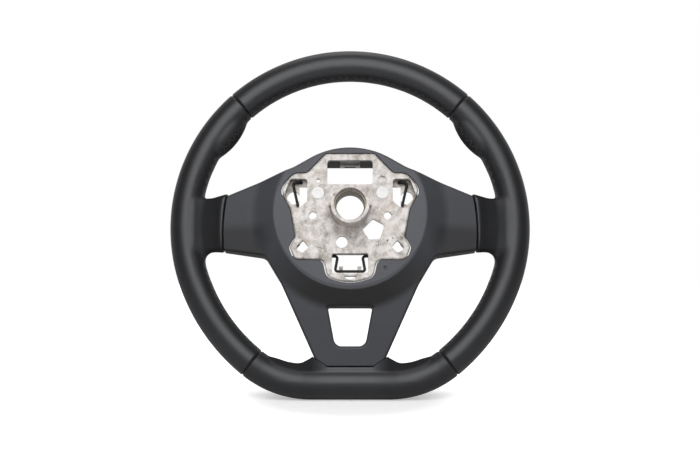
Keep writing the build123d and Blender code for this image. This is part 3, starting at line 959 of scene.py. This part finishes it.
@dataclass
class SidePanel:
    """Leather round one side of the rim, with the thumb rest and the root of the spoke."""

    rim: Rim
    skin: Skin
    thumb_direction: float = 143.2
    thumb_rise: float = 6.4
    thumb_reach: float = 65.0
    thumb_grip: float = 14.2
    thumb_sweep: float = 28.0
    root_buried: float = 165.0
    root_waist: float = 143.0
    root_end: float = 116.0
    root_z: Span = (-39.4, 15.2)
    root_y: Span = (22.3, 44.0)
    root_flare: float = 1.18
    root_lift: float = 3.0
    root_round: float = 6.0
    gusset: float = 9.0
    gusset_y: Span = (30.0, 42.0)
    gusset_steps: int = 6
    hollow: Point = (-146.5, 27.2)
    hollow_reach: float = 21.0
    hollow_sides: int = 160
    joint_high: Point = (-125.8, 20.0)
    joint_middle: Point = (-130.2, -18.0)
    joint_low: Point = (-128.4, -48.0)
    joint_span: float = 45.0
    joint_sides: int = 400
    joint_slack: float = 0.1
    soft_side: float = 1.25
    root_soft: Span = (-70.0, 45.0)
    root_rounds: int = 60
    thumb_soft: float = 30.0
    thumb_rounds: int = 14
    polished: Span = (0.0, 6.0)
    rubbed: Span = (132.0, 134.0)
    overrun: float = 4.0

    def tube(self) -> Object:
        """Form the grip from past one seam to past the other.

        Returns:
            The closed tube.
        """
        rim = self.rim
        past = rim.upper.degrees_of(self.overrun)
        return rim.tube("side_grip", rim.top_seam - past, [
            (rim.upper, rim.upper_end - rim.top_seam + past),
            (rim.flank, rim.flank_end - rim.upper_end + past)])

    def thumb_rest(self) -> Object:
        """Form the swelling on the inside of the rim above the spoke.

        Returns:
            The closed swelling.
        """
        rim = self.rim
        peak = rim.reach - 2 * rim.grip - self.thumb_rise
        middle = Arc(0.0, -rim.drop, peak + self.thumb_reach).place(
            self.thumb_direction, rim.depth) / MM
        arc = Arc(middle.x, middle.z, self.thumb_reach - self.thumb_grip)
        swelling = Rim(grip=self.thumb_grip, depth=rim.depth)
        first = self.thumb_direction + 180 - self.thumb_sweep
        return swelling.tube("thumb_rest", first, [(arc, 2 * self.thumb_sweep)])

    def root(self) -> Object:
        """Form the root from inside the rim to past the joint, flared there and hollow behind.

        Returns:
            The rounded block.
        """
        low, high = self.root_z
        rear, front = self.root_y
        points = [(-self.root_buried, low), (-self.root_waist, low), (-self.root_waist, high),
                  (-self.root_buried, high)]
        block = outline_block("spoke_root", points, rear, front)
        edit_faces(block, lambda face: face.normal.x > FACING)
        reach = (self.root_waist - self.root_end) * MM
        extrude((reach, 0, self.root_lift * MM))
        middle = metres((-self.root_end, (rear + front) / 2, (low + high) / 2 + self.root_lift))
        bpy.ops.transform.resize(value=(1, 1, self.root_flare), center_override=middle)
        object_mode()
        face_outward(block)
        round_edges(block, self.root_round)
        cut_away(block, primitive(
            "hollow_tool", bpy.ops.mesh.primitive_cylinder_add, vertices=self.hollow_sides,
            radius=self.hollow_reach * MM, depth=TOOL_LENGTH * MM,
            location=metres((self.hollow[0], self.hollow[1] - self.hollow_reach, 0))))
        return block

    def root_gusset(self) -> Object:
        """Form the web that rounds the corner between the rim and the lower edge of the root.

        Returns:
            The closed web.
        """
        rim = self.rim
        low = self.root_z[0]
        inner = rim.reach - 2 * rim.grip
        centre_z = low - self.gusset
        centre_x = -math.sqrt((inner - self.gusset) ** 2 - (centre_z + rim.drop) ** 2)
        last = 180 + math.degrees(math.asin((-rim.drop - centre_z) / (inner - self.gusset)))
        arc = Arc(centre_x, centre_z, self.gusset)
        corners = [arc.place(90 + (last - 90) * step / self.gusset_steps, 0.0) / MM
                   for step in range(self.gusset_steps + 1)]
        points = [(corner.x, corner.z) for corner in corners]
        buried = -inner - rim.grip / 2
        points += [(buried, points[-1][1]), (buried, low + rim.grip), (centre_x, low + rim.grip)]
        return outline_block("root_gusset", points, *self.gusset_y)

    def joint_tool(self) -> Object:
        """Form a block on the hub's side of the joint, with the joint's arc as its edge.

        Returns:
            The cutting tool.
        """
        high, middle, low = (
            Vector(point) for point in (self.joint_high, self.joint_middle, self.joint_low))
        chord = low - high
        along = (middle - high).dot(chord) / chord.length
        foot = high + chord * along / chord.length
        bow = (middle - foot).length
        inward = (foot - middle).normalized()
        lift = (along * (chord.length - along) - bow ** 2) / (2 * bow)
        reach = math.hypot(chord.length / 2, lift)
        offset = chord.length / 2 - along
        centre = (middle + inward * math.sqrt(reach ** 2 - offset ** 2)
                  + chord.normalized() * offset)
        tool = primitive(
            "joint_tool", bpy.ops.mesh.primitive_cylinder_add, vertices=self.joint_sides,
            radius=reach * MM, depth=TOOL_LENGTH * MM, rotation=(math.pi / 2, 0, 0),
            location=metres((centre.x, self.rim.depth, centre.y)))
        for direction in (1, -1):
            edge = (0, 0, (foot.y + direction * self.joint_span) * MM)
            edit(tool, bpy.ops.mesh.bisect, plane_co=edge, plane_no=(0, 0, direction),
                 clear_outer=True, use_fill=True)
        face_outward(tool)
        return tool

    def build(self) -> Object:
        """Fuse grip, thumb rest and root into one skin and cut it at its seams and its joint.

        Returns:
            The left panel.
        """
        rim = self.rim
        panel = self.skin.fuse("leather_left_panel", [
            self.tube(), self.thumb_rest(), self.root(), self.root_gusset()])
        inner = (rim.reach - self.soft_side * rim.grip) * MM
        lowest, highest = metres(self.root_soft)

        def inside(place: Vector) -> bool:
            """Tell whether a place is on the inner side of the rim."""
            return math.hypot(place.x, place.z + rim.drop * MM) < inner

        soften(panel, self.root_rounds, lambda place: inside(place) and lowest < place.z < highest)
        soften(panel, self.thumb_rounds, lambda place: (
            inside(place) and place.z > self.thumb_soft * MM))
        self.skin.open_joint(panel, self.joint_tool(), self.on_joint)
        upper = rim.top_seam + rim.upper.degrees_of(rim.seam_gap / 2)
        lower = rim.flank_end - rim.flank.degrees_of(rim.seam_gap / 2)
        self.skin.cut_at(panel, rim.upper.place(upper, rim.depth), -rim.upper.onward(upper))
        self.skin.cut_at(panel, rim.flank.place(lower, rim.depth), rim.flank.onward(lower))
        self.skin.finish(panel, rim.leather, self.dullness)
        return panel

    def dullness(self, place: Vector) -> float:
        """What stands out of the grip is dull, apart from the edge that the joint rubs."""
        away = math.hypot(place.x / MM, place.z / MM + self.rim.drop)
        return ramp(self.rim.proud(place), *self.polished) * ramp(away, *self.rubbed)

    def on_joint(self, face: MeshPolygon) -> bool:
        """Tell whether a face lies in the cut of the joint."""
        return (face.normal.x > FACING and abs(face.normal.y) < LEVEL
                and face.center.x > (self.joint_middle[0] - self.joint_slack) * MM
                and self.joint_low[1] * MM < face.center.z < self.joint_high[1] * MM)


@dataclass
class BottomPanel:
    """Leather round the flat bottom, with the two horns at the root of the lower spoke."""

    rim: Rim
    skin: Skin
    seam_z: float = -157.2
    seam_half: float = 23.3
    horn: Point = (36.7, -148.1)
    horn_inset: float = 4.0
    horn_spare: float = 1.0
    belly: Point = (50.0, -153.7)
    brow: tuple[Point, ...] = ((58.0, -153.0), (66.0, -151.2), (74.0, -148.2))
    toe: Point = (81.0, -146.4)
    rear: float = 26.5
    front: float = 44.0
    root_round: float = 2.5
    overrun: float = 4.0
    spare: float = 12.0
    tool_y: Span = (0.0, 80.0)
    joint_slack: float = 0.1
    joint_past: float = 3.0
    cut_facing: float = 0.995
    soft_floor: float = -172.0
    root_soft: float = 80.0
    root_rounds: int = 16
    brow_soft: Span = (47.0, 90.0)
    brow_rounds: int = 40
    polished: Span = (-0.3, 1.2)
    horns: Span = (22.0, 40.0)

    def tube(self) -> Object:
        """Form the grip from past one seam to past the other.

        Returns:
            The closed tube.
        """
        rim = self.rim
        first = rim.flank_end - rim.corner.degrees_of(self.overrun)
        tube = rim.start("bottom_grip", rim.corner, first)
        rim.spin(rim.corner, rim.foot - first, rim.step)
        extrude((-2 * rim.corner.x * MM, 0, 0))
        rim.spin(rim.far_corner, rim.foot - first, rim.step)
        object_mode()
        close_holes(tube)
        return tube

    def root(self) -> Object:
        """Form the root with its horns, up past the joint.

        Returns:
            The rounded block.
        """
        horn_x, horn_z = self.horn
        right = [(horn_x - self.horn_inset, horn_z + self.spare),
                 (horn_x + self.horn_spare, horn_z + self.horn_spare), self.belly, *self.brow,
                 self.toe, (self.toe[0] - self.rim.grip, self.rim.bottom + self.rim.grip)]
        block = outline_block("lower_root", mirror_outline(right), self.rear, self.front)
        round_edges(block, self.root_round)
        return block

    def joint_tool(self) -> Object:
        """Form a block on the hub's side of the joint.

        Returns:
            The cutting tool.
        """
        rise = (self.horn[1] - self.seam_z) / (self.horn[0] - self.seam_half)
        top = self.horn[1] + 2 * self.spare
        edge = [(self.seam_half, self.seam_z), (self.seam_half + (top - self.seam_z) / rise, top)]
        return outline_block("joint_tool", mirror_outline(edge), *self.tool_y)

    def build(self) -> Object:
        """Fuse grip and root into one skin and cut it at its seams and its joint.

        Returns:
            The bottom panel.
        """
        rim = self.rim
        panel = self.skin.fuse("leather_bottom_panel", [self.tube(), self.root()])
        floor = self.soft_floor * MM
        soften(panel, self.root_rounds, lambda place: (
            abs(place.x) < self.root_soft * MM and place.z > floor))
        near, far = metres(self.brow_soft)
        soften(panel, self.brow_rounds, lambda place: near < abs(place.x) < far and place.z > floor)
        self.skin.open_joint(panel, self.joint_tool(), self.on_joint)
        seam = rim.flank_end + rim.corner.degrees_of(rim.seam_gap / 2)
        place, onward = rim.corner.place(seam, rim.depth), rim.corner.onward(seam)
        flip = Matrix.Scale(-1, 3, (1, 0, 0))
        self.skin.cut_at(panel, place, -onward)
        self.skin.cut_at(panel, flip @ place, flip @ -onward)
        self.skin.finish(panel, rim.leather, self.dullness)
        return panel

    def dullness(self, place: Vector) -> float:
        """The horns are dull, which stand out of the grip on both sides of the spoke."""
        return ramp(self.rim.proud(place), *self.polished) * ramp(abs(place.x) / MM, *self.horns)

    def on_joint(self, face: MeshPolygon) -> bool:
        """Tell whether a face lies in the cut of the joint.

        Args:
            face: Face of the cut panel.

        Returns:
            True on the level middle and on both slopes of the cut.
        """
        slope = math.atan2(self.horn[1] - self.seam_z, self.horn[0] - self.seam_half)
        leaning = face.normal.z * math.cos(slope) - abs(face.normal.x) * math.sin(slope)
        flat = leaning if abs(face.center.x) > self.seam_half * MM else face.normal.z
        return (abs(face.normal.y) < LEVEL and flat > self.cut_facing
                and face.center.z > (self.seam_z - self.joint_slack) * MM
                and abs(face.center.x) < (self.horn[0] + self.joint_past) * MM)


@dataclass
class Stitching:
    """Lacing of the leather along the inside of the rim, as a zigzag of single strands."""

    rim: Rim
    turn: float = 28.0
    width: float = 4.2
    pitch: float = 4.0
    thread: float = 0.45
    sides: int = 6
    sink: float = 0.5
    rise: float = 0.3
    shares: Span = (0.15, 0.35)
    look_from: float = 60.0
    crease: float = 80.0

    def strand(self) -> Object:
        """Model one strand along X, arched over Z, with its ends in the leather.

        Returns:
            The strand.
        """
        length = math.hypot(self.width, self.pitch) * MM
        strand = primitive(
            "strand", bpy.ops.mesh.primitive_circle_add, vertices=self.sides,
            radius=self.thread * MM, fill_type="NGON", rotation=(0, math.pi / 2, 0),
            location=(-length / 2, 0, -self.sink * MM))
        edit_all(strand)
        lift = (self.sink + self.rise) * MM
        steep, level = self.shares
        for share, climb in ((steep, lift), (level, 0.0), (level, 0.0), (steep, -lift)):
            extrude((share * length, 0, climb))
        object_mode()
        face_outward(strand)
        return strand

    def surface(self, panel: Object, arc: Arc, degrees: float, turn: float) -> tuple[Vector, Vector]:
        """Find where a panel's surface lies at an angle of the rim and of its section.

        Args:
            panel: Panel that carries the stitch.
            arc: Stretch of the rim.
            degrees: Angle along the rim.
            turn: Angle from the inside of the rim towards the column.

        Returns:
            Place and outward direction.
        """
        angle = math.radians(turn)
        outward = -arc.outward(degrees) * math.cos(angle) + Vector((0, -math.sin(angle), 0))
        middle = arc.place(degrees, self.rim.depth)
        hit, place, normal, _ = panel.ray_cast(middle + outward * self.look_from * MM, -outward)
        return (place, normal) if hit else (middle + outward * self.rim.grip * MM, outward)

    def build(self, panel: Object, name: str, runs: Sequence[tuple[Arc, float, float]]) -> Object:
        """Lay strands along stretches of a panel.

        Args:
            panel: Panel that carries the stitches.
            name: Name of the lacing.
            runs: (arc, first angle, last angle) of each stretch.

        Returns:
            The lacing.
        """
        model = self.strand()
        strands = []
        half = math.degrees(self.width / 2 / self.rim.grip)
        for arc, first, last in runs:
            step = math.degrees(self.pitch / (arc.radius - self.rim.grip))
            for number in range(int((last - first) / step)):
                lean = half if number % 2 else -half
                start, up = self.surface(panel, arc, first + number * step, self.turn - lean)
                end, _ = self.surface(panel, arc, first + (number + 1) * step, self.turn + lean)
                along = (end - start).normalized()
                across = up.cross(along).normalized()
                turn = Matrix((along, across, along.cross(across))).transposed().to_4x4()
                copy = model.copy()
                copy.data = model.data.copy()
                copy.data.transform(Matrix.Translation((start + end) / 2) @ turn)
                bpy.context.scene.collection.objects.link(copy)
                strands.append(copy)
        bpy.data.objects.remove(model)
        lacing = joined(name, strands)
        shade(lacing, self.crease)
        return lacing


@dataclass
class LeatherRim:
    """All four panels of the rim with their lacing."""

    rim: Rim
    skin: Skin
    leather: Leather = Leather()
    thread: Thread = Thread()
    seam_margin: float = 1.0
    thumb_end: float = 167.0
    root_end: float = 196.5
    horn_start: float = 250.0

    def build(self) -> None:
        """Build the panels and their lacing, dress them and hand them over."""
        rim, margin = self.rim, self.seam_margin
        top = TopPanel(rim, self.skin).build()
        left = SidePanel(rim, self.skin).build()
        right = mirrored_copy(left, "leather_right_panel")
        bottom = BottomPanel(rim, self.skin).build()
        leather = self.leather.make()
        for panel, node in ((top, "leather_top"), (left, "leather_left"), (right, "leather_right"),
                            (bottom, "leather_bottom")):
            dress(panel, leather)
            hand_over(panel, [node])
        sewing = Stitching(rim)
        lacings = [sewing.build(top, "lacing_top", [
            (rim.upper, 180 - rim.top_seam + margin, rim.top_seam - margin)])]
        lacings.append(sewing.build(left, "lacing_left", [
            (rim.upper, rim.top_seam + margin, self.thumb_end),
            (rim.flank, self.root_end, rim.flank_end - margin)]))
        lacings.append(mirrored_copy(lacings[-1], "lacing_right"))
        lacings.append(sewing.build(bottom, "lacing_bottom_left", [
            (rim.corner, rim.flank_end + margin, self.horn_start)]))
        lacings.append(mirrored_copy(lacings[-1], "lacing_bottom_right"))
        thread = self.thread.make()
        for lacing in lacings:
            dress(lacing, thread)
            hand_over(lacing)


@dataclass
class Hub:
    """Casting, cover and small parts, whose shapes come from the frame."""

    casting: DieCast = DieCast()
    cover: CoverSkin = CoverSkin()
    sleeve: Metal = Metal("turned_steel", "a69f93", 0.45)
    contact: Metal = Metal("stamped_steel", "82817e", 0.35)
    wire: Metal = Metal("black_oxide_spring_steel", "1c1c1c", 0.35, 0.6)
    nylon: Moulding = Moulding("natural_nylon", "f2f2f1", "e9e9e8", roughness=0.4, relief=0.05)
    trim: Moulding = Moulding("grained_abs", "2b2c2e", "262729", roughness=0.5)
    foam: Moulding = Moulding("polyurethane_foam", "1b1b1c", "161617", roughness=0.8)

    def dress_nodes(self) -> None:
        """Give every node its finish."""
        finishes = (
            (self.casting, ("armature",)), (self.sleeve, ("hub_sleeve",)),
            (self.foam, ("rim_foam",)), (self.cover, ("hub_cover",)),
            (self.wire, ("spring_left", "spring_right", "spring_bottom")),
            (self.nylon, ("guide_bush_left", "guide_bush_right")),
            (self.contact, ("earth_contact",)),
            (self.trim, ("trim_left", "trim_right", "trim_lower")))
        for finish, nodes in finishes:
            material = finish.make()
            for node in nodes:
                dress(frame["nodes"][node], material)
                LOG.info("%s: %s", node, material.name)


# Studio
@dataclass
class Studio:
    """Pale floor, white surroundings, soft light and the camera."""

    below: float = 8.5
    distance: float = 1600.0
    target: Triple = (-0.1, 38.0, -19.9)
    lens: float = 79.97
    sensor: float = 36.0
    foot: Triple = (0.0, 38.0, -190.0)
    floor_gap: float = 0.5
    floor_pitch: float = 4.0
    floor_reach: float = 1200.0
    floor_sides: int = 96
    floor_colour: str = "ffffff"
    shadow_reach: Span = (70.0, 150.0)
    shadow_glow: float = 0.4
    paper_colour: str = "e6e6e6"
    room_light: float = 0.15
    mirrored_from: Span = (-0.1, 0.5)
    mirrored_light: float = 0.5
    # Name, place and size in metres, and power in watts
    lamps: tuple[tuple[str, Triple, float, float], ...] = (
        ("key", (-0.04, -1.36, 0.6), 1.62, 21.5), ("top", (0.0, 0.3, 1.7), 1.0, 4.0))

    def camera(self) -> None:
        """Aim the camera at the wheel from the column side, a little from below."""
        tilt = math.radians(self.below)
        data = bpy.data.cameras.new("camera")
        data.lens = self.lens
        data.sensor_width = self.sensor
        camera = bpy.data.objects.new("camera", data)
        bpy.context.scene.collection.objects.link(camera)
        back = Vector((0, -math.cos(tilt), -math.sin(tilt)))
        camera.location = (Vector(self.target) + back * self.distance) * MM
        camera.rotation_euler = (math.pi / 2 + tilt, 0, 0)
        bpy.context.scene.camera = camera

    def light(self) -> None:
        """Hang the soft lamps and aim them at the wheel."""
        for name, place, size, power in self.lamps:
            data = bpy.data.lights.new(name, "AREA")
            data.shape = "DISK"
            data.size = size
            data.energy = power
            lamp = bpy.data.objects.new(name, data)
            bpy.context.scene.collection.objects.link(lamp)
            lamp.location = place
            aim = Vector(self.target) * MM - Vector(place)
            lamp.rotation_euler = aim.to_track_quat("-Z", "Y").to_euler()

    def floor(self) -> None:
        """Lay a pale disc, seen only from above, that takes a shadow along the wheel's foot alone."""
        pitch = math.radians(self.below + self.floor_pitch)
        up = Vector((0, -math.sin(pitch), math.cos(pitch)))
        foot = Vector(self.foot) * MM - up * self.floor_gap * MM
        floor = primitive(
            "floor", bpy.ops.mesh.primitive_circle_add, vertices=self.floor_sides,
            radius=self.floor_reach * MM, fill_type="NGON", location=foot, rotation=(pitch, 0, 0))
        material, add, shader, place = start_material("pale_studio_paper")
        path = add("LightPath", {})
        away = add("VectorMath", {0: place, 1: foot}, operation="DISTANCE")
        far = add("MapRange", {
            "Value": away, FROM: metres(self.shadow_reach), "To Min": self.shadow_glow, "To Max": 1.0},
            interpolation_type="SMOOTHSTEP")
        level = add("Math", {0: path.outputs["Is Camera Ray"], 1: far}, operation="MULTIPLY")
        glow = add("Emission", {"Color": linear(self.floor_colour), "Strength": level})
        paper = add("BsdfDiffuse", {"Color": linear(self.paper_colour)})
        both = add("AddShader", {0: glow, 1: paper})
        clear = add("BsdfTransparent", {})
        side = add("NewGeometry", {})
        mixed = add("MixShader", {0: side.outputs["Backfacing"], 1: both, 2: clear})
        nodes = material.node_tree.nodes
        nodes.remove(shader)
        feed(nodes["Material Output"], {"Surface": mixed})
        dress(floor, material)

    def surroundings(self) -> None:
        """Show white to the camera and white behind to what mirrors it, in a dim room."""
        world = bpy.data.worlds.new("studio")
        bpy.context.scene.world = world
        world.use_nodes = True
        world.node_tree.nodes.clear()
        add = partial(add_node, world.node_tree)
        path = add("LightPath", {})
        place = add("TexCoord", {})
        parts = add("SeparateXYZ", {0: place.outputs["Generated"]})
        behind = add("MapRange", {
            "Value": parts.outputs["Y"], FROM: self.mirrored_from, "To Max": self.mirrored_light})
        mirrored = add("Math", {0: behind, 1: path.outputs["Is Glossy Ray"]}, operation="MULTIPLY")
        room = add("Math", {0: mirrored, 1: self.room_light}, operation="ADD")
        level = add("Math", {0: path.outputs["Is Camera Ray"], 1: room}, operation="MAXIMUM")
        glow = add("Background", {"Color": linear(self.floor_colour), "Strength": level})
        add("OutputWorld", {"Surface": glow})

    def build(self) -> None:
        """Set up floor, surroundings, lamps and camera."""
        bpy.context.scene.view_settings.view_transform = "Standard"
        self.floor()
        self.surroundings()
        self.light()
        self.camera()


def main() -> None:
    """Build the wheel piece by piece and report each."""
    logging.basicConfig(level=logging.INFO, format="%(message)s")
    LeatherRim(Rim(), Skin()).build()
    Hub().dress_nodes()
    Studio().build()


if __name__ == "__main__":
    main()
